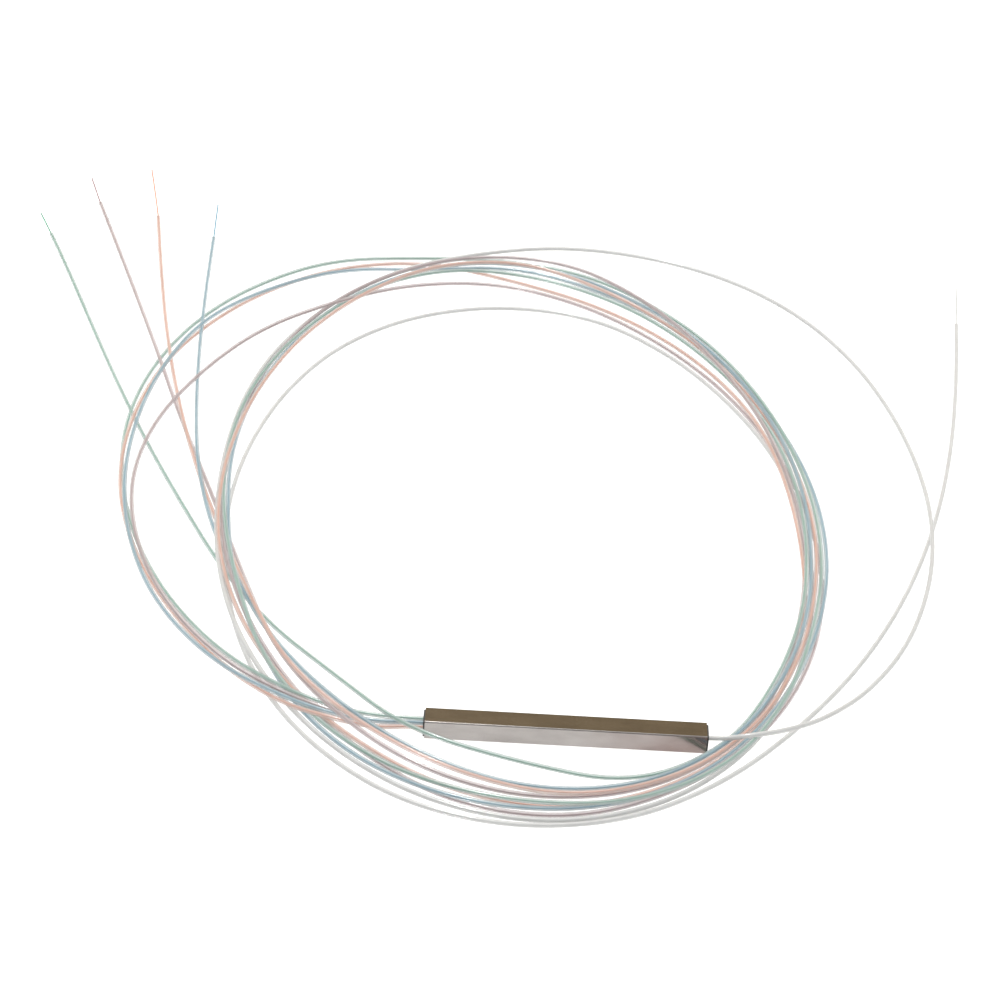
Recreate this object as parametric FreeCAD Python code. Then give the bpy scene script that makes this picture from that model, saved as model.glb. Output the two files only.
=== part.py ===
"""Bare-ended 1 x 4 planar splitter module, all sizes in millimetres.

A square stainless tube holds a planar waveguide chip between two fibre array
blocks.  One fibre enters at the +X end and four leave at the -X end, each in
its own loose tube, and each ends as bare coloured fibre.  The loose tubes lie
wound in loose turns on the surface that the steel tube rests on.

Frame: origin under the middle of the steel tube on its resting face, +X along
the tube towards the input end, +Z up.
"""
import FreeCAD, Part
import math
import os

V = FreeCAD.Vector

# ---------------------------------------------------------------- dimensions
TUBE_SIDE = 4.0            # outer side of the square steel tube
TUBE_LENGTH = 50.0
TUBE_WALL = 0.3
TUBE_EDGE_R = 0.25         # outer rounding of the long edges
TUBE_BORE_R = 0.12         # inner rounding of the long edges

PLUG_DEPTH = 2.5           # how far an end plug reaches into the tube
PLUG_PROUD = 0.3           # how far it stands out of the tube
PLUG_CHAMFER = 0.08

LOOSE_OD = 0.90            # loose tube over each fibre
LOOSE_ID = 0.50
FIBRE_D = 0.25             # coated fibre
BARE_D = 0.125             # stripped fibre in the grooves
STRIP_X = 14.1             # coating ends here, just outside the array blocks

EXIT_PITCH = 1.0           # the four output tubes leave in a 2 x 2 pattern
AXIS_Z = TUBE_SIDE / 2.0   # waveguide plane and bore centre

CHIP_LENGTH = 13.0
STACK_WIDTH = 2.4          # chip and array blocks
CHIP_THICK = 1.0
CHIP_LID_THICK = 1.0
BLOCK_LENGTH = 7.0
BLOCK_LID_LENGTH = 5.0
BLOCK_THICK = 1.0
BLOCK_LID_THICK = 0.9
GROOVE_PITCH = 0.25
GROOVE_HALF_ANGLE = 30.0   # degrees
LID_Z = AXIS_Z + BARE_D / 2.0 + 0.001   # underside of the array lids

ARC_SHARE = 0.45           # share of the shorter run that each arc's tangent takes
TIP_STUB = 2.8             # straight fibre out of each free end before it bends down

# groove number of each output, counted from -Y, and its place on the end face
OUTPUTS = {
    "output_blue": (0, -0.5, 0.5),
    "output_orange": (1, -0.5, -0.5),
    "output_brown": (2, 0.5, -0.5),
    "output_green": (3, 0.5, 0.5),
}

# Corner points of each loose tube's centre line.  The tube runs straight
# between them with a tangent arc at each.
ROUTES = {
    "input": [
        (22.50, 0.00, 2.00), (28.00, 0.00, 2.00), (32.98, -0.45, 3.65), (39.18, 1.88, 3.11),
        (46.93, 7.36, 1.74), (55.91, 16.96, 0.70), (64.76, 31.75, 0.56), (70.86, 51.08, 1.19),
        (72.88, 70.99, 1.59), (71.69, 91.00, 0.96), (67.99, 110.67, 0.46), (61.29, 129.53, 0.46),
        (50.82, 146.65, 0.46), (35.93, 160.14, 0.46), (17.60, 168.17, 0.46), (-2.46, 169.78, 0.98),
        (-21.53, 163.51, 1.86), (-39.43, 154.38, 1.97), (-53.54, 140.33, 0.98), (-63.46, 122.91, 0.46),
        (-68.72, 103.70, 0.46), (-70.52, 83.78, 0.56), (-69.93, 63.85, 1.43), (-67.52, 43.94, 2.27),
        (-62.21, 24.66, 2.12), (-52.58, 7.03, 1.10), (-39.38, -7.99, 0.46), (-22.44, -19.07, 0.46),
        (-2.44, -22.76, 0.46), (17.01, -16.67, 0.46), (31.78, -2.98, 0.46), (41.23, 14.88, 0.46),
        (46.24, 34.22, 0.46), (47.84, 54.18, 0.46), (46.55, 74.14, 0.46), (41.34, 93.48, 0.46),
        (32.58, 111.52, 0.46), (20.80, 127.71, 0.46), (4.91, 140.39, 0.46), (-15.23, 143.47, 0.46),
        (-34.70, 137.51, 0.46), (-50.01, 124.31, 0.46), (-59.74, 106.63, 0.46), (-65.27, 87.37, 0.64),
        (-67.48, 67.46, 1.38), (-66.74, 47.54, 2.18), (-63.01, 28.00, 1.10), (-55.67, 9.45, 0.46),
        (-44.03, -6.77, 0.46), (-28.13, -19.09, 0.46), (-8.57, -23.94, 0.46), (11.38, -20.64, 0.46),
        (28.17, -9.67, 0.46), (41.63, 5.08, 0.46), (53.13, 21.32, 0.46), (62.43, 38.97, 0.46),
        (69.74, 57.50, 0.46), (75.37, 76.66, 0.46), (79.63, 96.02, 0.46), (82.88, 116.05, 0.46),
        (85.06, 133.09, 0.46), (86.41, 145.58, 0.50),
    ],
    "output_blue": [
        (-22.50, -0.50, 2.50), (-28.00, -0.50, 2.50), (-33.52, -0.74, 2.46), (-40.59, 0.15, 2.53),
        (-50.85, 4.02, 2.89), (-64.19, 13.21, 2.22), (-76.83, 29.29, 1.56), (-84.86, 47.68, 1.58),
        (-89.15, 67.40, 2.06), (-89.65, 87.48, 2.86), (-86.82, 107.31, 3.65), (-80.47, 126.71, 3.45),
        (-68.76, 142.99, 1.81), (-52.62, 155.55, 0.53), (-33.18, 156.47, 0.88), (-13.37, 158.04, 1.99),
        (5.64, 151.27, 1.20), (21.81, 139.47, 0.46), (34.05, 123.72, 0.46), (42.65, 105.58, 0.46),
        (48.55, 86.40, 0.46), (51.06, 66.44, 0.79), (50.13, 46.32, 1.46), (45.76, 26.62, 1.59),
        (37.76, 8.07, 1.42), (25.45, -8.08, 1.00), (7.82, -18.46, 0.92), (-12.49, -20.42, 1.58),
        (-31.66, -13.25, 1.27), (-46.39, 1.06, 0.46), (-56.17, 18.69, 0.46), (-63.55, 37.34, 2.21),
        (-66.96, 57.10, 2.93), (-68.90, 77.12, 2.11), (-67.80, 97.16, 1.11), (-63.39, 116.76, 0.46),
        (-55.81, 135.26, 0.46), (-43.10, 150.32, 1.22), (-24.77, 158.65, 2.54), (-4.25, 158.23, 2.00),
        (13.25, 147.83, 1.49), (26.94, 133.47, 1.57), (37.01, 116.16, 1.51), (43.83, 97.23, 1.58),
        (47.35, 77.37, 1.85), (47.78, 57.12, 1.99), (45.83, 37.01, 2.16), (40.03, 17.49, 1.84),
        (29.86, -0.20, 1.30), (13.42, -12.73, 1.15), (-6.94, -15.61, 1.63), (-26.15, -8.99, 2.82),
        (-42.14, 3.44, 3.84), (-54.45, 19.52, 3.40), (-62.42, 37.76, 1.18), (-70.18, 56.09, 0.70),
        (-75.31, 75.35, 2.12), (-78.06, 95.43, 2.09), (-80.04, 115.48, 2.37), (-81.45, 136.06, 2.35),
        (-82.49, 153.36, 1.48), (-83.26, 166.05, 0.50),
    ],
    "output_orange": [
        (-22.50, -0.50, 1.50), (-28.00, -0.50, 1.50), (-33.53, -1.37, 1.51), (-40.69, -1.06, 2.68),
        (-50.94, 3.22, 1.96), (-63.09, 14.14, 0.87), (-75.45, 30.63, 0.46), (-84.73, 48.62, 0.46),
        (-90.34, 68.04, 1.33), (-90.87, 88.20, 2.49), (-87.23, 108.09, 2.97), (-80.68, 127.07, 1.12),
        (-69.60, 143.77, 0.46), (-53.58, 156.29, 0.46), (-33.61, 160.77, 0.46), (-14.26, 154.51, 0.46),
        (4.00, 146.49, 0.46), (19.83, 134.07, 0.47), (31.74, 117.95, 0.99), (39.99, 99.63, 1.60),
        (44.02, 79.80, 1.75), (45.86, 59.71, 1.66), (45.61, 39.56, 1.41), (41.48, 19.83, 0.50),
        (32.86, 1.32, 0.46), (18.18, -12.40, 0.46), (-1.39, -19.48, 0.46), (-21.46, -15.48, 0.91),
        (-38.32, -4.43, 1.54), (-51.85, 10.49, 1.33), (-61.97, 27.98, 2.10), (-67.83, 47.09, 3.53),
        (-69.57, 67.02, 4.05), (-68.52, 86.98, 3.10), (-65.06, 106.60, 2.20), (-58.14, 125.43, 2.20),
        (-46.99, 141.75, 2.89), (-31.92, 155.04, 3.26), (-11.98, 159.12, 3.09), (6.78, 150.30, 2.16),
        (22.18, 137.81, 1.06), (34.12, 121.65, 0.46), (42.10, 103.29, 0.46), (47.06, 83.76, 0.86),
        (49.10, 63.70, 1.60), (47.70, 43.45, 1.54), (43.25, 23.64, 1.49), (34.93, 4.98, 1.47),
        (20.80, -9.92, 1.41), (1.15, -17.55, 1.94), (-19.06, -13.87, 3.11), (-37.08, -3.51, 4.45),
        (-51.14, 11.56, 4.74), (-59.05, 30.20, 3.36), (-65.90, 48.96, 0.80), (-72.91, 67.71, 0.46),
        (-79.15, 86.63, 1.61), (-84.20, 106.01, 1.47), (-88.51, 125.38, 1.45), (-92.27, 145.32, 0.83),
        (-95.23, 162.06, 0.46), (-97.26, 174.27, 0.50),
    ],
    "output_green": [
        (-22.50, 0.50, 2.50), (-28.00, 0.50, 2.50), (-33.48, 0.89, 2.37), (-40.56, 2.23, 2.27),
        (-50.79, 6.24, 2.92), (-63.35, 16.20, 2.04), (-75.49, 32.66, 0.89), (-84.36, 50.75, 0.46),
        (-90.12, 70.21, 0.46), (-92.25, 90.34, 0.46), (-89.93, 110.42, 0.46), (-83.29, 129.65, 0.46),
        (-71.97, 146.28, 0.46), (-55.58, 159.19, 0.46), (-35.70, 162.17, 0.46), (-15.36, 163.38, 0.46),
        (3.98, 158.50, 0.46), (19.69, 145.16, 0.71), (31.60, 128.99, 1.33), (40.36, 110.65, 1.54),
        (46.51, 91.38, 1.15), (49.74, 71.42, 0.98), (49.64, 51.18, 1.53), (46.23, 31.20, 2.45),
        (40.44, 11.69, 2.62), (30.25, -6.04, 2.25), (13.00, -17.85, 2.21), (-7.40, -19.46, 2.08),
        (-27.15, -13.80, 1.62), (-43.46, -1.31, 1.12), (-55.54, 14.78, 2.50), (-62.22, 33.69, 3.81),
        (-67.21, 53.36, 3.60), (-69.68, 73.37, 2.62), (-69.41, 93.49, 1.80), (-65.14, 113.22, 1.58),
        (-57.01, 131.59, 1.38), (-44.77, 147.76, 1.49), (-26.72, 157.07, 1.65), (-6.23, 155.27, 1.09),
        (11.86, 146.57, 0.46), (25.80, 132.09, 0.46), (36.35, 115.01, 0.46), (43.19, 96.19, 0.94),
        (46.38, 76.50, 1.88), (46.85, 56.56, 2.60), (44.75, 36.57, 2.37), (38.73, 17.46, 1.18),
        (28.89, -0.64, 0.46), (11.80, -11.86, 0.68), (-8.82, -9.29, 2.45), (-28.31, -3.84, 3.85),
        (-42.61, 11.74, 2.52), (-55.68, 26.99, 0.46), (-66.93, 43.91, 0.46), (-76.29, 61.85, 0.64),
        (-85.45, 79.91, 1.26), (-93.78, 98.40, 1.56), (-101.34, 117.05, 0.93), (-108.92, 136.22, 0.46),
        (-115.42, 152.23, 0.46), (-120.44, 163.87, 0.50),
    ],
    "output_brown": [
        (-22.50, 0.50, 1.50), (-28.00, 0.50, 1.50), (-33.32, 0.15, 1.43), (-40.24, 1.04, 2.24),
        (-50.59, 4.98, 2.78), (-63.40, 14.58, 2.13), (-75.70, 30.75, 1.55), (-83.98, 49.01, 1.49),
        (-87.95, 68.78, 1.77), (-85.77, 88.70, 2.59), (-77.96, 107.14, 3.38), (-67.47, 124.61, 3.29),
        (-52.75, 138.14, 2.58), (-36.18, 149.50, 1.22), (-16.25, 153.02, 0.46), (2.81, 145.41, 0.46),
        (18.30, 132.76, 0.46), (30.96, 117.02, 0.46), (40.24, 99.11, 0.46), (46.41, 79.91, 0.46),
        (49.46, 59.93, 0.46), (49.02, 39.69, 0.46), (44.31, 19.99, 0.77), (35.31, 1.87, 1.57),
        (21.32, -12.65, 1.27), (2.45, -21.12, 0.56), (-18.01, -19.30, 0.46), (-35.08, -8.02, 0.46),
        (-48.30, 7.22, 0.46), (-59.01, 24.34, 2.18), (-65.87, 43.09, 3.27), (-69.14, 62.79, 2.25),
        (-69.56, 82.74, 0.92), (-67.87, 102.58, 0.46), (-62.87, 121.76, 0.83), (-53.53, 139.35, 1.83),
        (-39.28, 153.36, 2.40), (-21.63, 162.11, 2.21), (-1.27, 160.72, 2.26), (14.53, 147.48, 2.61),
        (26.33, 131.70, 2.37), (35.67, 114.14, 1.87), (42.15, 95.29, 1.68), (45.53, 75.61, 1.41),
        (46.74, 55.72, 0.46), (44.28, 35.85, 0.46), (39.21, 16.49, 0.46), (29.67, -1.29, 0.46),
        (13.03, -13.75, 0.46), (-7.34, -17.62, 1.38), (-26.93, -12.33, 3.00), (-42.60, 0.97, 3.88),
        (-53.51, 17.95, 2.21), (-60.68, 36.86, 1.24), (-67.34, 55.90, 0.46), (-74.28, 74.90, 0.46),
        (-81.41, 93.78, 0.46), (-88.10, 112.81, 1.58), (-94.69, 131.75, 1.43), (-101.44, 151.16, 0.77),
        (-107.22, 167.44, 0.46), (-111.59, 179.34, 0.50),
    ],
}

# Where the bare end of each fibre lies.
TIP_ENDS = {
    "input": (88.74, 163.67, 0.13),
    "output_blue": (-84.22, 182.00, 0.13),
    "output_orange": (-102.04, 197.08, 0.13),
    "output_green": (-124.68, 173.82, 0.13),
    "output_brown": (-115.65, 191.61, 0.13),
}


# ------------------------------------------------------------------- helpers
def rounded_bar(x0, x1, side, radius, z_mid):
    """Square bar along X with its long edges rounded."""
    h = side / 2.0
    box = Part.makeBox(x1 - x0, side, side, V(x0, -h, z_mid - h))
    edges = [e for e in box.Edges
             if abs(e.Vertexes[0].Point.x - e.Vertexes[1].Point.x) > 1e-6]
    return box.makeFillet(radius, edges)


def box_at(x0, x1, y0, y1, z0, z1):
    return Part.makeBox(x1 - x0, y1 - y0, z1 - z0, V(x0, y0, z0))


def run_arc_path(points, cuts=None):
    """Straight runs joined by tangent arcs.

    Returns the wire, its length and the arc radii.  cuts may fix the tangent
    length at a corner."""
    pts = [V(*p) for p in points]
    runs = [pts[i + 1] - pts[i] for i in range(len(pts) - 1)]
    length = [r.Length for r in runs]
    edges, radii, start = [], [], pts[0]
    for i in range(1, len(pts) - 1):
        t0 = V(runs[i - 1]) / length[i - 1]
        t1 = V(runs[i]) / length[i]
        turn = math.acos(max(-1.0, min(1.0, t0.dot(t1))))
        cut = ARC_SHARE * min(length[i - 1], length[i])
        if cuts and i in cuts:
            cut = cuts[i]
        radius = cut / math.tan(turn / 2.0)
        a = pts[i] - t0 * cut
        b = pts[i] + t1 * cut
        inward = (t1 - t0).normalize()
        mid = pts[i] + inward * (radius / math.cos(turn / 2.0) - radius)
        edges.append(Part.LineSegment(start, a).toShape())
        edges.append(Part.Arc(a, mid, b).toShape())
        radii.append(radius)
        start = b
    edges.append(Part.LineSegment(start, pts[-1]).toShape())
    wire = Part.Wire(edges)
    return wire, wire.Length, radii


def circle_wire(centre, normal, diameter):
    return Part.Wire(Part.makeCircle(diameter / 2.0, centre, normal))


def one_solid(shape):
    """The single solid of a swept shape, facing outwards."""
    solids = shape.Solids
    assert len(solids) == 1, "expected one solid, got %d" % len(solids)
    s = solids[0]
    if s.Volume < 0:
        s.reverse()
    return s


def sweep(points, outer, inner=0.0, cuts=None):
    """Round section, hollow if inner is given, along a run and arc path."""
    wire, length, radii = run_arc_path(points, cuts)
    origin = V(*points[0])
    normal = (V(*points[1]) - origin).normalize()
    profile = Part.Face(circle_wire(origin, normal, outer))
    if inner:
        profile = profile.cut(Part.Face(circle_wire(origin, normal, inner))).Faces[0]
    solid = one_solid(wire.makePipe(profile))
    area = math.pi / 4.0 * (outer ** 2 - inner ** 2)
    return solid, length, radii, area * length


def export(shape, name):
    assert shape.isValid(), name
    shape.exportStep("parts/%s.step" % name)
    bb = shape.BoundBox
    print("%-26s volume %9.3f  x %8.2f..%7.2f  y %7.2f..%7.2f  z %5.3f..%5.3f"
          % (name, shape.Volume, bb.XMin, bb.XMax, bb.YMin, bb.YMax, bb.ZMin, bb.ZMax))


os.makedirs("parts", exist_ok=True)
HALF = TUBE_LENGTH / 2.0
BORE = TUBE_SIDE - 2.0 * TUBE_WALL
PLUG_IN = HALF - PLUG_DEPTH
PLUG_OUT = HALF + PLUG_PROUD

# ---------------------------------------------------------------- steel tube
# Welded and drawn square tube, cut square and lightly deburred at both mouths.
outer = rounded_bar(-HALF, HALF, TUBE_SIDE, TUBE_EDGE_R, AXIS_Z)
bore = rounded_bar(-HALF - 1.0, HALF + 1.0, BORE, TUBE_BORE_R, AXIS_Z)
export(outer.cut(bore), "steel_tube")


# ----------------------------------------------------------------- end plugs
def end_plug(sign, holes):
    """Soft plug that fills one mouth of the tube, holed for the loose tubes."""
    x0, x1 = sorted((sign * PLUG_IN, sign * PLUG_OUT))
    body = rounded_bar(x0, x1, BORE, TUBE_BORE_R, AXIS_Z)
    face_x = sign * PLUG_OUT
    rim = [e for e in body.Edges
           if all(abs(v.Point.x - face_x) < 1e-6 for v in e.Vertexes)]
    body = body.makeChamfer(PLUG_CHAMFER, rim)
    for y, z in holes:
        body = body.cut(Part.makeCylinder(LOOSE_OD / 2.0, PLUG_DEPTH + PLUG_PROUD + 2.0,
                                          V(x0 - 1.0, y, AXIS_Z + z), V(1, 0, 0)))
    return body


export(end_plug(1, [(0.0, 0.0)]), "input_end_plug")
export(end_plug(-1, [(y, z) for _, y, z in OUTPUTS.values()]), "output_end_plug")

# --------------------------------------------------------- chip and its lid
HC = CHIP_LENGTH / 2.0
HW = STACK_WIDTH / 2.0
export(box_at(-HC, HC, -HW, HW, AXIS_Z - CHIP_THICK, AXIS_Z), "splitter_chip")
export(box_at(-HC, HC, -HW, HW, AXIS_Z, AXIS_Z + CHIP_LID_THICK), "chip_lid")


# -------------------------------------------------------- fibre array blocks
def array_block(sign, groove_ys):
    """Glass base with V grooves, stepped down where the coated fibre lies."""
    x0, x1 = sorted((sign * HC, sign * (HC + BLOCK_LENGTH)))
    base = box_at(x0, x1, -HW, HW, LID_Z - BLOCK_THICK, LID_Z)
    step_x0, step_x1 = sorted((sign * (HC + BLOCK_LID_LENGTH), sign * (HC + BLOCK_LENGTH)))
    pad = 0.5
    if sign > 0:
        step_x1 += pad
    else:
        step_x0 -= pad
    base = base.cut(box_at(step_x0, step_x1, -HW - pad, HW + pad,
                           AXIS_Z - FIBRE_D / 2.0 - 0.05, LID_Z + pad))
    tan = math.tan(math.radians(GROOVE_HALF_ANGLE))
    apex = AXIS_Z - (BARE_D / 2.0 + 0.001) / math.sin(math.radians(GROOVE_HALF_ANGLE))
    top = LID_Z + 0.2
    half = (top - apex) * tan
    for y in groove_ys:
        tri = Part.makePolygon([V(x0 - 1.0, y, apex), V(x0 - 1.0, y - half, top),
                                V(x0 - 1.0, y + half, top), V(x0 - 1.0, y, apex)])
        base = base.cut(Part.Face(tri).extrude(V(x1 - x0 + 2.0, 0, 0)))
    return base.removeSplitter()


def array_lid(sign):
    x0, x1 = sorted((sign * HC, sign * (HC + BLOCK_LID_LENGTH)))
    return box_at(x0, x1, -HW, HW, LID_Z, LID_Z + BLOCK_LID_THICK)


def groove_y(index):
    return (index - (len(OUTPUTS) - 1) / 2.0) * GROOVE_PITCH


export(array_block(1, [0.0]), "input_array_block")
export(array_lid(1), "input_array_lid")
export(array_block(-1, [groove_y(i) for i, _, _ in OUTPUTS.values()]), "output_array_block")
export(array_lid(-1), "output_array_lid")

# ------------------------------------------------------ loose tubes and fibres
for name, route in ROUTES.items():
    kind, _, colour = name.partition("_")
    sign = 1.0 if kind == "input" else -1.0
    suffix = "_" + colour if colour else ""

    tube, length, radii, expected = sweep(route, LOOSE_OD, LOOSE_ID)
    print("%s: %d points, length %.1f, volume / (section x length) %.5f" %
          (name, len(route), length, tube.Volume / expected))
    print("   radii " + " ".join("%.0f" % r for r in radii))
    export(tube, kind + "_loose_tube" + suffix)

    # The fibre: stripped in its groove, coated from there through the loose
    # tube and out of its free end, down onto the surface.
    p0, p1, last, before = V(*route[0]), V(*route[1]), V(*route[-1]), V(*route[-2])
    if colour:
        gy = groove_y(OUTPUTS[name][0])
        inside = [(sign * STRIP_X, gy, AXIS_Z), (sign * 16.0, gy, AXIS_Z),
                  (sign * 18.3, gy, p0.z), (sign * 20.6, p0.y, p0.z)]
    else:
        gy = 0.0
        inside = [(sign * STRIP_X, gy, AXIS_Z)]
    out_dir = (last - before).normalize()
    stub = last + out_dir * TIP_STUB
    path = inside + [tuple(p) for p in route[1:-1]] + [tuple(stub), TIP_ENDS[name]]
    # arcs inside the loose tube are the tube's own
    first = len(inside)
    cuts = {}
    if len(inside) >= 1:
        r = [(V(*route[i + 1]) - V(*route[i])).Length for i in range(len(route) - 1)]
        for k in range(1, len(route) - 1):
            cuts[first + k - 1] = ARC_SHARE * min(r[k - 1], r[k])
    coated, flen, fradii, fexp = sweep(path, FIBRE_D, 0.0, cuts)
    bare = Part.makeCylinder(BARE_D / 2.0, STRIP_X - HC, V(sign * HC, gy, AXIS_Z), V(sign, 0, 0))
    fibre = one_solid(coated.fuse(bare))
    print("   fibre length %.1f, volume / (section x length) %.5f, last radii %s" %
          (flen + STRIP_X - HC, coated.Volume / fexp, ["%.1f" % v for v in fradii[:4] + fradii[-2:]]))
    export(fibre, kind + "_fibre" + suffix)
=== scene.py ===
"""Looks of the bare-ended 1 x 4 planar splitter module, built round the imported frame."""
import bpy
import math
from mathutils import Euler, Matrix, Vector


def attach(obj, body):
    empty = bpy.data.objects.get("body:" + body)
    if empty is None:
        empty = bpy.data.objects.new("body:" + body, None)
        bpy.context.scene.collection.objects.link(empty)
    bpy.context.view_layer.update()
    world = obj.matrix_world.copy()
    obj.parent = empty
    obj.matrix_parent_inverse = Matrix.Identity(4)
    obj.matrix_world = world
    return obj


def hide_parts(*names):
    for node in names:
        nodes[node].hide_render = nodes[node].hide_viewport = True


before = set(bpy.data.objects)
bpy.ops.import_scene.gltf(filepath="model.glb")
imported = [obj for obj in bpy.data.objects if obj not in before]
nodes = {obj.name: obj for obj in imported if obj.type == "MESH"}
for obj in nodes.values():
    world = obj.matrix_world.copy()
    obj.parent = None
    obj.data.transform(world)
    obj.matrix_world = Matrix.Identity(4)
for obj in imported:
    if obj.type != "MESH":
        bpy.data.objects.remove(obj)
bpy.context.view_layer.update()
scene = bpy.context.scene
MM = 0.001

# ------------------------------------------------------------------ camera
cam_data = bpy.data.cameras.new("camera")
cam_data.lens = 90.0
cam_data.sensor_width = 36.0
cam_data.clip_start, cam_data.clip_end = 0.01, 50.0
cam = bpy.data.objects.new("camera", cam_data)
scene.collection.objects.link(cam)
cam.location = (-0.0138366, -0.3336408, 0.2971805)
tilt = Euler((math.radians(90.0 - 36.3205), 0.0, 0.0)).to_matrix()
cam.rotation_euler = (tilt @ Matrix.Rotation(math.radians(3.1), 3, "Z")).to_euler()
scene.camera = cam

# ------------------------------------------------------------------- cords
LOOSE_OD = 0.90
FIBRE_D = 0.25
BARE_D = 0.125

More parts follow.
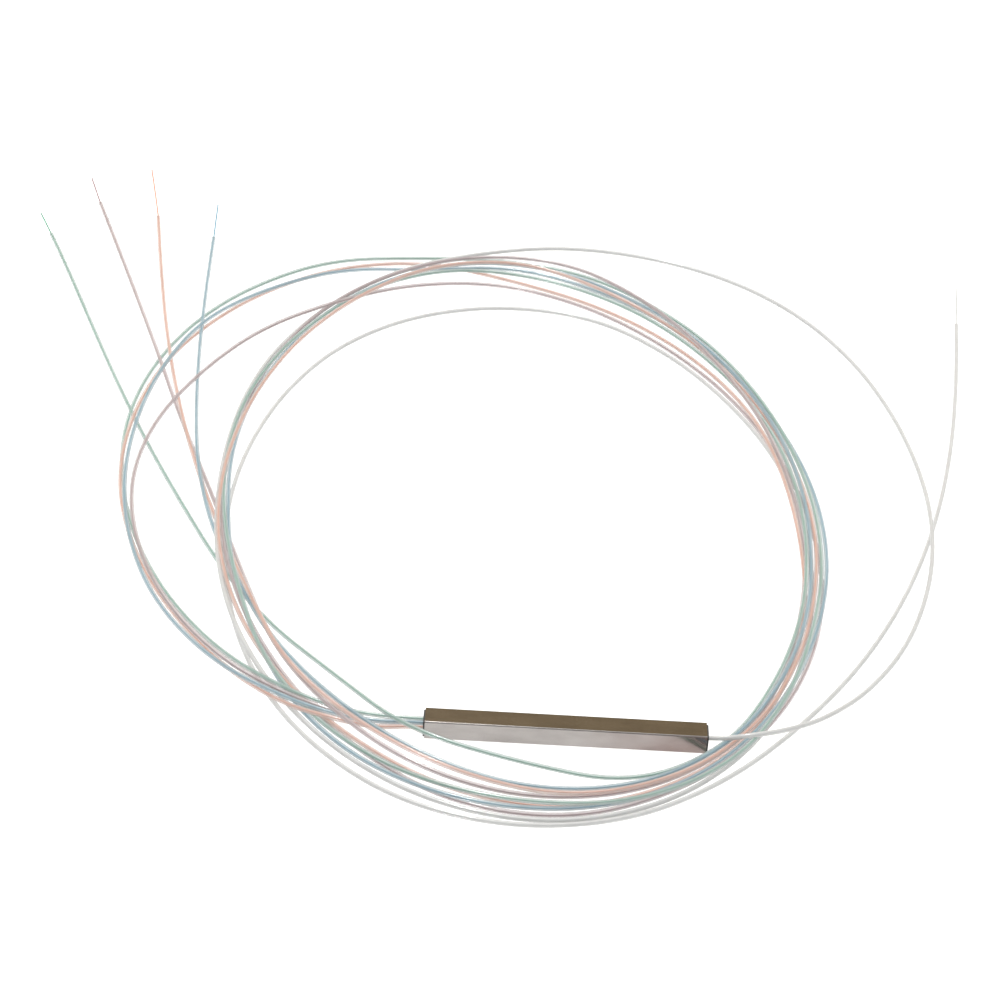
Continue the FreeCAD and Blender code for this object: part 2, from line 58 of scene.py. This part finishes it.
# Corner points of each loose tube's centre line, in millimetres.
ROUTES = {
    "input": [
        (22.50, 0.00, 2.00), (28.00, 0.00, 2.00), (32.98, -0.45, 3.65), (39.18, 1.88, 3.11),
        (46.93, 7.36, 1.74), (55.91, 16.96, 0.70), (64.76, 31.75, 0.56), (70.86, 51.08, 1.19),
        (72.88, 70.99, 1.59), (71.69, 91.00, 0.96), (67.99, 110.67, 0.46), (61.29, 129.53, 0.46),
        (50.82, 146.65, 0.46), (35.93, 160.14, 0.46), (17.60, 168.17, 0.46), (-2.46, 169.78, 0.98),
        (-21.53, 163.51, 1.86), (-39.43, 154.38, 1.97), (-53.54, 140.33, 0.98), (-63.46, 122.91, 0.46),
        (-68.72, 103.70, 0.46), (-70.52, 83.78, 0.56), (-69.93, 63.85, 1.43), (-67.52, 43.94, 2.27),
        (-62.21, 24.66, 2.12), (-52.58, 7.03, 1.10), (-39.38, -7.99, 0.46), (-22.44, -19.07, 0.46),
        (-2.44, -22.76, 0.46), (17.01, -16.67, 0.46), (31.78, -2.98, 0.46), (41.23, 14.88, 0.46),
        (46.24, 34.22, 0.46), (47.84, 54.18, 0.46), (46.55, 74.14, 0.46), (41.34, 93.48, 0.46),
        (32.58, 111.52, 0.46), (20.80, 127.71, 0.46), (4.91, 140.39, 0.46), (-15.23, 143.47, 0.46),
        (-34.70, 137.51, 0.46), (-50.01, 124.31, 0.46), (-59.74, 106.63, 0.46), (-65.27, 87.37, 0.64),
        (-67.48, 67.46, 1.38), (-66.74, 47.54, 2.18), (-63.01, 28.00, 1.10), (-55.67, 9.45, 0.46),
        (-44.03, -6.77, 0.46), (-28.13, -19.09, 0.46), (-8.57, -23.94, 0.46), (11.38, -20.64, 0.46),
        (28.17, -9.67, 0.46), (41.63, 5.08, 0.46), (53.13, 21.32, 0.46), (62.43, 38.97, 0.46),
        (69.74, 57.50, 0.46), (75.37, 76.66, 0.46), (79.63, 96.02, 0.46), (82.88, 116.05, 0.46),
        (85.06, 133.09, 0.46), (86.41, 145.58, 0.50),
    ],
    "output_blue": [
        (-22.50, -0.50, 2.50), (-28.00, -0.50, 2.50), (-33.52, -0.74, 2.46), (-40.59, 0.15, 2.53),
        (-50.85, 4.02, 2.89), (-64.19, 13.21, 2.22), (-76.83, 29.29, 1.56), (-84.86, 47.68, 1.58),
        (-89.15, 67.40, 2.06), (-89.65, 87.48, 2.86), (-86.82, 107.31, 3.65), (-80.47, 126.71, 3.45),
        (-68.76, 142.99, 1.81), (-52.62, 155.55, 0.53), (-33.18, 156.47, 0.88), (-13.37, 158.04, 1.99),
        (5.64, 151.27, 1.20), (21.81, 139.47, 0.46), (34.05, 123.72, 0.46), (42.65, 105.58, 0.46),
        (48.55, 86.40, 0.46), (51.06, 66.44, 0.79), (50.13, 46.32, 1.46), (45.76, 26.62, 1.59),
        (37.76, 8.07, 1.42), (25.45, -8.08, 1.00), (7.82, -18.46, 0.92), (-12.49, -20.42, 1.58),
        (-31.66, -13.25, 1.27), (-46.39, 1.06, 0.46), (-56.17, 18.69, 0.46), (-63.55, 37.34, 2.21),
        (-66.96, 57.10, 2.93), (-68.90, 77.12, 2.11), (-67.80, 97.16, 1.11), (-63.39, 116.76, 0.46),
        (-55.81, 135.26, 0.46), (-43.10, 150.32, 1.22), (-24.77, 158.65, 2.54), (-4.25, 158.23, 2.00),
        (13.25, 147.83, 1.49), (26.94, 133.47, 1.57), (37.01, 116.16, 1.51), (43.83, 97.23, 1.58),
        (47.35, 77.37, 1.85), (47.78, 57.12, 1.99), (45.83, 37.01, 2.16), (40.03, 17.49, 1.84),
        (29.86, -0.20, 1.30), (13.42, -12.73, 1.15), (-6.94, -15.61, 1.63), (-26.15, -8.99, 2.82),
        (-42.14, 3.44, 3.84), (-54.45, 19.52, 3.40), (-62.42, 37.76, 1.18), (-70.18, 56.09, 0.70),
        (-75.31, 75.35, 2.12), (-78.06, 95.43, 2.09), (-80.04, 115.48, 2.37), (-81.45, 136.06, 2.35),
        (-82.49, 153.36, 1.48), (-83.26, 166.05, 0.50),
    ],
    "output_orange": [
        (-22.50, -0.50, 1.50), (-28.00, -0.50, 1.50), (-33.53, -1.37, 1.51), (-40.69, -1.06, 2.68),
        (-50.94, 3.22, 1.96), (-63.09, 14.14, 0.87), (-75.45, 30.63, 0.46), (-84.73, 48.62, 0.46),
        (-90.34, 68.04, 1.33), (-90.87, 88.20, 2.49), (-87.23, 108.09, 2.97), (-80.68, 127.07, 1.12),
        (-69.60, 143.77, 0.46), (-53.58, 156.29, 0.46), (-33.61, 160.77, 0.46), (-14.26, 154.51, 0.46),
        (4.00, 146.49, 0.46), (19.83, 134.07, 0.47), (31.74, 117.95, 0.99), (39.99, 99.63, 1.60),
        (44.02, 79.80, 1.75), (45.86, 59.71, 1.66), (45.61, 39.56, 1.41), (41.48, 19.83, 0.50),
        (32.86, 1.32, 0.46), (18.18, -12.40, 0.46), (-1.39, -19.48, 0.46), (-21.46, -15.48, 0.91),
        (-38.32, -4.43, 1.54), (-51.85, 10.49, 1.33), (-61.97, 27.98, 2.10), (-67.83, 47.09, 3.53),
        (-69.57, 67.02, 4.05), (-68.52, 86.98, 3.10), (-65.06, 106.60, 2.20), (-58.14, 125.43, 2.20),
        (-46.99, 141.75, 2.89), (-31.92, 155.04, 3.26), (-11.98, 159.12, 3.09), (6.78, 150.30, 2.16),
        (22.18, 137.81, 1.06), (34.12, 121.65, 0.46), (42.10, 103.29, 0.46), (47.06, 83.76, 0.86),
        (49.10, 63.70, 1.60), (47.70, 43.45, 1.54), (43.25, 23.64, 1.49), (34.93, 4.98, 1.47),
        (20.80, -9.92, 1.41), (1.15, -17.55, 1.94), (-19.06, -13.87, 3.11), (-37.08, -3.51, 4.45),
        (-51.14, 11.56, 4.74), (-59.05, 30.20, 3.36), (-65.90, 48.96, 0.80), (-72.91, 67.71, 0.46),
        (-79.15, 86.63, 1.61), (-84.20, 106.01, 1.47), (-88.51, 125.38, 1.45), (-92.27, 145.32, 0.83),
        (-95.23, 162.06, 0.46), (-97.26, 174.27, 0.50),
    ],
    "output_green": [
        (-22.50, 0.50, 2.50), (-28.00, 0.50, 2.50), (-33.48, 0.89, 2.37), (-40.56, 2.23, 2.27),
        (-50.79, 6.24, 2.92), (-63.35, 16.20, 2.04), (-75.49, 32.66, 0.89), (-84.36, 50.75, 0.46),
        (-90.12, 70.21, 0.46), (-92.25, 90.34, 0.46), (-89.93, 110.42, 0.46), (-83.29, 129.65, 0.46),
        (-71.97, 146.28, 0.46), (-55.58, 159.19, 0.46), (-35.70, 162.17, 0.46), (-15.36, 163.38, 0.46),
        (3.98, 158.50, 0.46), (19.69, 145.16, 0.71), (31.60, 128.99, 1.33), (40.36, 110.65, 1.54),
        (46.51, 91.38, 1.15), (49.74, 71.42, 0.98), (49.64, 51.18, 1.53), (46.23, 31.20, 2.45),
        (40.44, 11.69, 2.62), (30.25, -6.04, 2.25), (13.00, -17.85, 2.21), (-7.40, -19.46, 2.08),
        (-27.15, -13.80, 1.62), (-43.46, -1.31, 1.12), (-55.54, 14.78, 2.50), (-62.22, 33.69, 3.81),
        (-67.21, 53.36, 3.60), (-69.68, 73.37, 2.62), (-69.41, 93.49, 1.80), (-65.14, 113.22, 1.58),
        (-57.01, 131.59, 1.38), (-44.77, 147.76, 1.49), (-26.72, 157.07, 1.65), (-6.23, 155.27, 1.09),
        (11.86, 146.57, 0.46), (25.80, 132.09, 0.46), (36.35, 115.01, 0.46), (43.19, 96.19, 0.94),
        (46.38, 76.50, 1.88), (46.85, 56.56, 2.60), (44.75, 36.57, 2.37), (38.73, 17.46, 1.18),
        (28.89, -0.64, 0.46), (11.80, -11.86, 0.68), (-8.82, -9.29, 2.45), (-28.31, -3.84, 3.85),
        (-42.61, 11.74, 2.52), (-55.68, 26.99, 0.46), (-66.93, 43.91, 0.46), (-76.29, 61.85, 0.64),
        (-85.45, 79.91, 1.26), (-93.78, 98.40, 1.56), (-101.34, 117.05, 0.93), (-108.92, 136.22, 0.46),
        (-115.42, 152.23, 0.46), (-120.44, 163.87, 0.50),
    ],
    "output_brown": [
        (-22.50, 0.50, 1.50), (-28.00, 0.50, 1.50), (-33.32, 0.15, 1.43), (-40.24, 1.04, 2.24),
        (-50.59, 4.98, 2.78), (-63.40, 14.58, 2.13), (-75.70, 30.75, 1.55), (-83.98, 49.01, 1.49),
        (-87.95, 68.78, 1.77), (-85.77, 88.70, 2.59), (-77.96, 107.14, 3.38), (-67.47, 124.61, 3.29),
        (-52.75, 138.14, 2.58), (-36.18, 149.50, 1.22), (-16.25, 153.02, 0.46), (2.81, 145.41, 0.46),
        (18.30, 132.76, 0.46), (30.96, 117.02, 0.46), (40.24, 99.11, 0.46), (46.41, 79.91, 0.46),
        (49.46, 59.93, 0.46), (49.02, 39.69, 0.46), (44.31, 19.99, 0.77), (35.31, 1.87, 1.57),
        (21.32, -12.65, 1.27), (2.45, -21.12, 0.56), (-18.01, -19.30, 0.46), (-35.08, -8.02, 0.46),
        (-48.30, 7.22, 0.46), (-59.01, 24.34, 2.18), (-65.87, 43.09, 3.27), (-69.14, 62.79, 2.25),
        (-69.56, 82.74, 0.92), (-67.87, 102.58, 0.46), (-62.87, 121.76, 0.83), (-53.53, 139.35, 1.83),
        (-39.28, 153.36, 2.40), (-21.63, 162.11, 2.21), (-1.27, 160.72, 2.26), (14.53, 147.48, 2.61),
        (26.33, 131.70, 2.37), (35.67, 114.14, 1.87), (42.15, 95.29, 1.68), (45.53, 75.61, 1.41),
        (46.74, 55.72, 0.46), (44.28, 35.85, 0.46), (39.21, 16.49, 0.46), (29.67, -1.29, 0.46),
        (13.03, -13.75, 0.46), (-7.34, -17.62, 1.38), (-26.93, -12.33, 3.00), (-42.60, 0.97, 3.88),
        (-53.51, 17.95, 2.21), (-60.68, 36.86, 1.24), (-67.34, 55.90, 0.46), (-74.28, 74.90, 0.46),
        (-81.41, 93.78, 0.46), (-88.10, 112.81, 1.58), (-94.69, 131.75, 1.43), (-101.44, 151.16, 0.77),
        (-107.22, 167.44, 0.46), (-111.59, 179.34, 0.50),
    ],
}
# Where each bare fibre end lies.
TIP_ENDS = {
    "input": (88.74, 163.67, 0.13),
    "output_blue": (-84.22, 182.00, 0.13),
    "output_orange": (-102.04, 197.08, 0.13),
    "output_green": (-124.68, 173.82, 0.13),
    "output_brown": (-115.65, 191.61, 0.13),
}
# How far the bare fibre runs straight on past each tube's end, in millimetres.
TIP_STUB = 2.8
GROOVE_PITCH = 0.25
# Blender pads a bevelled curve's box by its points' radius, so that is 1 mm
# and the bevel depth makes up for it.
POINT_RADIUS = 0.001
GROOVE = {"output_blue": 0, "output_orange": 1, "output_brown": 2, "output_green": 3}
AXIS_Z = 2.0
STRIP_X = 14.1
CHIP_HALF = 6.5


def nurbs(name, points, depth=0.0, sides=5, steps=10):
    """Smooth curve with the route's points as its control points."""
    data = bpy.data.curves.new(name, "CURVE")
    data.dimensions = "3D"
    data.resolution_u = steps
    spline = data.splines.new("NURBS")
    spline.points.add(len(points) - 1)
    for p, co in zip(spline.points, points):
        p.co = (co[0] * MM, co[1] * MM, co[2] * MM, 1.0)
        p.radius = POINT_RADIUS
    spline.order_u = 3
    spline.use_endpoint_u = True
    data.bevel_depth = depth / POINT_RADIUS
    data.bevel_resolution = sides
    data.use_fill_caps = depth > 0
    obj = bpy.data.objects.new(name, data)
    scene.collection.objects.link(obj)
    return obj


def line_of(name, points, steps=10):
    """Points along the smooth curve, read from Blender's own spline."""
    obj = nurbs(name, points, steps=steps)
    bpy.context.view_layer.update()
    mesh = bpy.data.meshes.new_from_object(obj)
    line = [v.co.copy() for v in mesh.vertices]
    bpy.data.meshes.remove(mesh)
    data = obj.data
    bpy.data.objects.remove(obj)
    bpy.data.curves.remove(data)
    return line


def frames_along(line):
    """A cross-section frame at each point, turned as little as possible."""
    out = []
    side = None
    for i, p in enumerate(line):
        a = line[max(i - 1, 0)]
        b = line[min(i + 1, len(line) - 1)]
        t = (b - a).normalized()
        if side is None:
            side = Vector((0, 0, 1)).cross(t).normalized()
        side = (side - t * side.dot(t)).normalized()
        out.append((p, side, t.cross(side)))
    return out


def rod_mesh(name, line, radii, sides=10):
    """Closed round rod along a line, with a radius at each point."""
    verts, faces = [], []
    for (p, s, u), r in zip(frames_along(line), radii):
        for k in range(sides):
            a = 2 * math.pi * k / sides
            verts.append(p + s * (r * math.cos(a)) + u * (r * math.sin(a)))
    n = len(line)
    for i in range(n - 1):
        for k in range(sides):
            j = (k + 1) % sides
            faces.append((i * sides + k, i * sides + j, (i + 1) * sides + j, (i + 1) * sides + k))
    faces.append(tuple(reversed(range(sides))))
    faces.append(tuple((n - 1) * sides + k for k in range(sides)))
    mesh = bpy.data.meshes.new(name)
    mesh.from_pydata([tuple(v) for v in verts], [], faces)
    mesh.update()
    for f in mesh.polygons[:-2]:
        f.use_smooth = True
    obj = bpy.data.objects.new(name, mesh)
    scene.collection.objects.link(obj)
    return obj


tubes, fibres = {}, {}
for name, route in ROUTES.items():
    kind, _, colour = name.partition("_")
    suffix = "_" + colour if colour else ""
    sign = 1.0 if kind == "input" else -1.0

    tube = nurbs(name + "_lead_tube", route, depth=LOOSE_OD / 2 * MM, sides=5, steps=9)
    for s in tube.data.splines:
        s.use_smooth = True
    tubes[name] = tube

    # The fibre lies loosely in its tube, so it wanders about the centre line.
    line = line_of("line", route, steps=9)
    last, before = Vector(route[-1]), Vector(route[-2])
    out_dir = (last - before).normalized()
    gy = (GROOVE[name] - 1.5) * GROOVE_PITCH if colour else 0.0
    p0 = Vector(route[0])
    if colour:
        inside = [(sign * STRIP_X, gy, AXIS_Z), (sign * 16.0, gy, AXIS_Z),
                  (sign * 18.3, gy, p0.z), (sign * 20.6, p0.y, p0.z), tuple(p0)]
    else:
        inside = [(sign * STRIP_X, gy, AXIS_Z), (sign * 17.0, gy, AXIS_Z), tuple(p0)]
    start = line_of("line", inside, steps=6)
    stub = last + out_dir * TIP_STUB
    tip = line_of("line", [tuple(last), tuple(stub), TIP_ENDS[name]], steps=8)
    wander = []
    fr = frames_along(line)
    dist = 0.0
    phase = {"input": 0.3, "output_blue": 1.1, "output_orange": 2.3,
             "output_green": 3.9, "output_brown": 5.2}[name]
    for i, (p, s, u) in enumerate(fr):
        if i:
            dist += (line[i] - line[i - 1]).length
        ease = min(1.0, dist / 0.012)
        a = phase + 0.9 * math.sin(dist * 31.0 + phase) + 0.6 * math.sin(dist * 73.0 + 2.0 * phase)
        r = 0.105 * MM * ease * (0.75 + 0.25 * math.sin(dist * 47.0 + phase))
        wander.append((p, s, u, a, r, dist))
    total = dist
    inner = []
    for p, s, u, a, r, d in wander:
        r *= min(1.0, (total - d) / 0.012)
        inner.append(p + s * (r * math.cos(a)) + u * (r * math.sin(a)))
    groove = [Vector((sign * CHIP_HALF * MM, gy * MM, AXIS_Z * MM)),
              Vector((sign * (STRIP_X - 0.02) * MM, gy * MM, AXIS_Z * MM))]
    whole = groove + start[:-1] + inner + tip[1:]
    radii = [BARE_D / 2 * MM] * 2 + [FIBRE_D / 2 * MM] * (len(whole) - 2)
    fibre = rod_mesh(name + "_coloured_fibre", whole, radii)
    fibres[name] = fibre

    cad_tube = kind + "_loose_tube" + suffix
    cad_fibre = kind + "_fibre" + suffix
    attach(tube, "root")
    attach(fibre, "root")
    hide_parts(cad_tube)
    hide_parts(cad_fibre)


# --------------------------------------------------------------- materials
class Nodes:
    """Short hand for building a node material."""

    def __init__(self, name):
        self.mat = bpy.data.materials.new(name)
        self.mat.use_nodes = True
        self.tree = self.mat.node_tree
        self.tree.nodes.clear()
        self.out = self.add("ShaderNodeOutputMaterial")
        self.bsdf = self.add("ShaderNodeBsdfPrincipled")
        self.link(self.bsdf, "BSDF", self.out, "Surface")

    def add(self, kind, **props):
        n = self.tree.nodes.new(kind)
        for k, v in props.items():
            setattr(n, k, v)
        return n

    def link(self, a, sa, b, sb):
        self.tree.links.new(a.outputs[sa], b.inputs[sb])

    def set(self, **values):
        for k, v in values.items():
            self.bsdf.inputs[k.replace("_", " ")].default_value = v

    def coords(self, scale=(1, 1, 1), rotation=(0, 0, 0)):
        c = self.add("ShaderNodeTexCoord")
        m = self.add("ShaderNodeMapping")
        m.inputs["Scale"].default_value = scale
        m.inputs["Rotation"].default_value = rotation
        self.link(c, "Object", m, "Vector")
        return m

    def noise(self, mapping, scale, detail=3.0, rough=0.55, distortion=0.0):
        n = self.add("ShaderNodeTexNoise")
        n.inputs["Scale"].default_value = scale
        n.inputs["Detail"].default_value = detail
        n.inputs["Roughness"].default_value = rough
        n.inputs["Distortion"].default_value = distortion
        self.link(mapping, "Vector", n, "Vector")
        return n

    def ramp(self, source, socket, stops):
        r = self.add("ShaderNodeValToRGB")
        e = r.color_ramp.elements
        while len(e) < len(stops):
            e.new(0.5)
        for el, (pos, col) in zip(e, stops):
            el.position = pos
            el.color = (*col, 1.0)
        self.link(source, socket, r, "Fac")
        return r

    def remap(self, source, socket, lo, hi, a=0.0, b=1.0):
        r = self.add("ShaderNodeMapRange")
        r.inputs["From Min"].default_value = a
        r.inputs["From Max"].default_value = b
        r.inputs["To Min"].default_value = lo
        r.inputs["To Max"].default_value = hi
        self.link(source, socket, r, "Value")
        return r

    def bump(self, source, socket, strength, distance):
        b = self.add("ShaderNodeBump")
        b.inputs["Strength"].default_value = strength
        b.inputs["Distance"].default_value = distance
        self.link(source, socket, b, "Height")
        self.link(b, "Normal", self.bsdf, "Normal")
        return b


def steel_material():
    m = Nodes("drawn_steel")
    m.set(Metallic=1.0)
    grain = m.noise(m.coords((400, 1500, 1500)), 6.0, 4.0, 0.6)
    cloud = m.noise(m.coords((120, 300, 300)), 1.0, 3.0, 0.6)
    mix = m.add("ShaderNodeMix", data_type="RGBA", blend_type="MULTIPLY")
    mix.inputs["Factor"].default_value = 0.5
    base = m.ramp(cloud, "Fac", [(0.25, (0.30, 0.28, 0.268)), (0.55, (0.362, 0.340, 0.326)), (0.80, (0.402, 0.380, 0.366))])
    fine = m.ramp(grain, "Fac", [(0.30, (0.80, 0.79, 0.78)), (0.62, (1.0, 1.0, 1.0))])
    m.link(base, "Color", mix, "A")
    m.link(fine, "Color", mix, "B")
    # Painted shade on the front face, darker towards the input end and broken up by noise; it stands in for how
    # light falls on that face, not for a real film.
    axis = m.add("ShaderNodeSeparateXYZ")
    m.link(m.coords(), "Vector", axis, "Vector")
    along = m.remap(axis, "X", 0.0, 1.0, 0.002, 0.022)
    front = m.remap(axis, "Y", 1.0, 0.0, -0.00199, -0.0018)
    patch = m.remap(m.noise(m.coords((90, 90, 320)), 1.0, 3.0, 0.6), "Fac", 0.55, 1.0, 0.35, 0.65)
    both = m.add("ShaderNodeMath", operation="MULTIPLY")
    painted_shade = m.add("ShaderNodeMath", operation="MULTIPLY")
    m.tree.links.new(along.outputs["Result"], both.inputs[0])
    m.tree.links.new(front.outputs["Result"], both.inputs[1])
    m.tree.links.new(both.outputs["Value"], painted_shade.inputs[0])
    m.tree.links.new(patch.outputs["Result"], painted_shade.inputs[1])
    # Multiply the metal colour by a pinkish grey wherever the painted shade mask is on.
    painted_shade_tint = m.add("ShaderNodeMix", data_type="RGBA", blend_type="MULTIPLY")
    painted_shade_tint.inputs["B"].default_value = (0.68, 0.55, 0.53, 1.0)
    m.link(painted_shade, "Value", painted_shade_tint, "Factor")
    m.link(mix, "Result", painted_shade_tint, "A")
    m.link(painted_shade_tint, "Result", m.bsdf, "Base Color")
    rough = m.remap(grain, "Fac", 0.13, 0.22, 0.3, 0.7)
    m.link(rough, "Result", m.bsdf, "Roughness")
    m.bump(grain, "Fac", 0.15, 0.00001)
    return m.mat


def plug_material():
    m = Nodes("black_plug")
    speck = m.noise(m.coords(), 4000.0, 3.0)
    col = m.ramp(speck, "Fac", [(0.3, (0.012, 0.012, 0.013)), (0.7, (0.035, 0.034, 0.034))])
    m.link(col, "Color", m.bsdf, "Base Color")
    m.set(Roughness=0.55)
    m.bump(speck, "Fac", 0.3, 0.00003)
    return m.mat


def glass_material(name, colour):
    m = Nodes(name)
    m.set(Roughness=0.08, IOR=1.46, Transmission_Weight=0.85)
    haze = m.noise(m.coords(), 900.0, 2.0)
    col = m.ramp(haze, "Fac", [(0.3, tuple(c * 0.93 for c in colour)), (0.7, colour)])
    m.link(col, "Color", m.bsdf, "Base Color")
    return m.mat


def tube_material(name, colour, alpha):
    m = Nodes(name)
    haze = m.noise(m.coords(), 260.0, 3.0, 0.6)
    col = m.ramp(haze, "Fac", [(0.25, tuple(c * 0.93 for c in colour)), (0.75, tuple(min(1.0, c * 1.04) for c in colour))])
    m.link(col, "Color", m.bsdf, "Base Color")
    m.set(IOR=1.45, Alpha=alpha, Coat_Weight=0.8, Coat_Roughness=0.11)
    rough = m.remap(haze, "Fac", 0.30, 0.38)
    m.link(rough, "Result", m.bsdf, "Roughness")
    return m.mat


def fibre_material(name, colour):
    m = Nodes(name)
    vary = m.noise(m.coords(), 340.0, 2.0)
    col = m.ramp(vary, "Fac", [(0.3, tuple(c * 0.88 for c in colour)), (0.7, colour)])
    m.link(col, "Color", m.bsdf, "Base Color")
    m.set(Roughness=0.3, IOR=1.5)
    return m.mat


def paint(obj, mat):
    if not obj.material_slots:
        obj.data.materials.append(mat)
    for s in obj.material_slots:
        s.material = mat


steel = steel_material()
plug = plug_material()
chip_glass = glass_material("chip_glass", (0.80, 0.86, 0.88))
array_glass = glass_material("array_glass", (0.88, 0.93, 0.92))
paint(nodes["steel_tube"], steel)
paint(nodes["input_end_plug"], plug)
paint(nodes["output_end_plug"], plug)
for n in ("splitter_chip", "chip_lid"):
    paint(nodes[n], chip_glass)
for n in ("input_array_block", "input_array_lid", "output_array_block", "output_array_lid"):
    paint(nodes[n], array_glass)

FIBRE_COLOURS = {
    "input": (0.43, 0.43, 0.42),
    "output_blue": (0.06, 0.25, 0.36),
    "output_orange": (0.64, 0.21, 0.105),
    "output_green": (0.025, 0.25, 0.14),
    "output_brown": (0.22, 0.095, 0.105),
}
TUBE_COLOURS = {
    "input": (0.498, 0.500, 0.494),
    "output_blue": (0.280, 0.352, 0.378),
    "output_orange": (0.490, 0.382, 0.338),
    "output_green": (0.322, 0.392, 0.370),
    "output_brown": (0.405, 0.360, 0.358),
}
for name in ROUTES:
    # The white tube is milkier than the tinted ones.
    paint(tubes[name], tube_material("loose_tube_" + name, TUBE_COLOURS[name], 0.82 if name == "input" else 0.58))
    paint(fibres[name], fibre_material("fibre_" + name, FIBRE_COLOURS[name]))

# ------------------------------------------------------------- floor, light
bpy.ops.mesh.primitive_plane_add(size=30.0, location=(0, 0, -0.00004))
floor = bpy.context.object
floor.name = "floor"
fm = Nodes("floor")
fm.set(Base_Color=(0.93, 0.93, 0.93, 1.0), Roughness=0.9)
paint(floor, fm.mat)

world = bpy.data.worlds.new("studio")
scene.world = world
world.use_nodes = True
wt = world.node_tree
wt.nodes.clear()
w_out = wt.nodes.new("ShaderNodeOutputWorld")
w_bg = wt.nodes.new("ShaderNodeBackground")
w_tc = wt.nodes.new("ShaderNodeTexCoord")
w_sep = wt.nodes.new("ShaderNodeSeparateXYZ")
w_ramp = wt.nodes.new("ShaderNodeValToRGB")
els = w_ramp.color_ramp.elements
stops = [(0.0, (0.6, 0.6, 0.6)), (0.16, (0.6, 0.6, 0.6)), (0.30, (0.412, 0.308, 0.166)),
         (0.74, (0.412, 0.308, 0.166)), (0.86, (0.65, 0.65, 0.65))]
while len(els) < len(stops):
    els.new(0.5)
for e, (pos, col) in zip(els, stops):
    e.position = pos
    e.color = (*col, 1.0)
wt.links.new(w_tc.outputs["Generated"], w_sep.inputs["Vector"])
wt.links.new(w_sep.outputs["Z"], w_ramp.inputs["Fac"])
# The dark brown card stands only behind the object.
w_side = wt.nodes.new("ShaderNodeMapRange")
w_side.interpolation_type = "SMOOTHSTEP"
w_side.inputs["From Min"].default_value = 0.42
w_side.inputs["From Max"].default_value = 0.66
w_mix = wt.nodes.new("ShaderNodeMix")
w_mix.data_type = "RGBA"
w_mix.inputs["A"].default_value = (0.60, 0.60, 0.60, 1.0)
wt.links.new(w_sep.outputs["Y"], w_side.inputs["Value"])
wt.links.new(w_side.outputs["Result"], w_mix.inputs["Factor"])
wt.links.new(w_ramp.outputs["Color"], w_mix.inputs["B"])
wt.links.new(w_mix.outputs["Result"], w_bg.inputs["Color"])
w_bg.inputs["Strength"].default_value = 1.0
wt.links.new(w_bg.outputs["Background"], w_out.inputs["Surface"])


def area(name, direction, distance, size, power, colour=(1, 1, 1)):
    light = bpy.data.lights.new(name, "AREA")
    light.shape = "RECTANGLE"
    light.size, light.size_y = size
    light.energy = power
    light.color = colour
    obj = bpy.data.objects.new(name, light)
    scene.collection.objects.link(obj)
    d = Vector(direction).normalized()
    target = Vector((-0.01, 0.06, 0.0))
    obj.location = target + d * distance
    obj.rotation_euler = d.to_track_quat("Z", "Y").to_euler()
    return obj


area("overhead", (0.0, 0.1, 1.0), 1.6, (2.2, 1.4), 4.0, (0.985, 0.985, 0.975))
area("fill", (0.0, 0.1, 1.0), 1.6, (2.2, 1.4), 22.0, (1.0, 0.99, 0.975)).data.use_shadow = False
area("key", (-0.12, 0.30, 0.94), 1.2, (0.075, 0.075), 9.0).data.use_shadow = False

scene.view_settings.view_transform = "Standard"
scene.view_settings.exposure = 0.0
scene.cycles.use_denoising = True
scene.cycles.transparent_max_bounces = 48
scene.cycles.max_bounces = 12

bpy.context.view_layer.update()
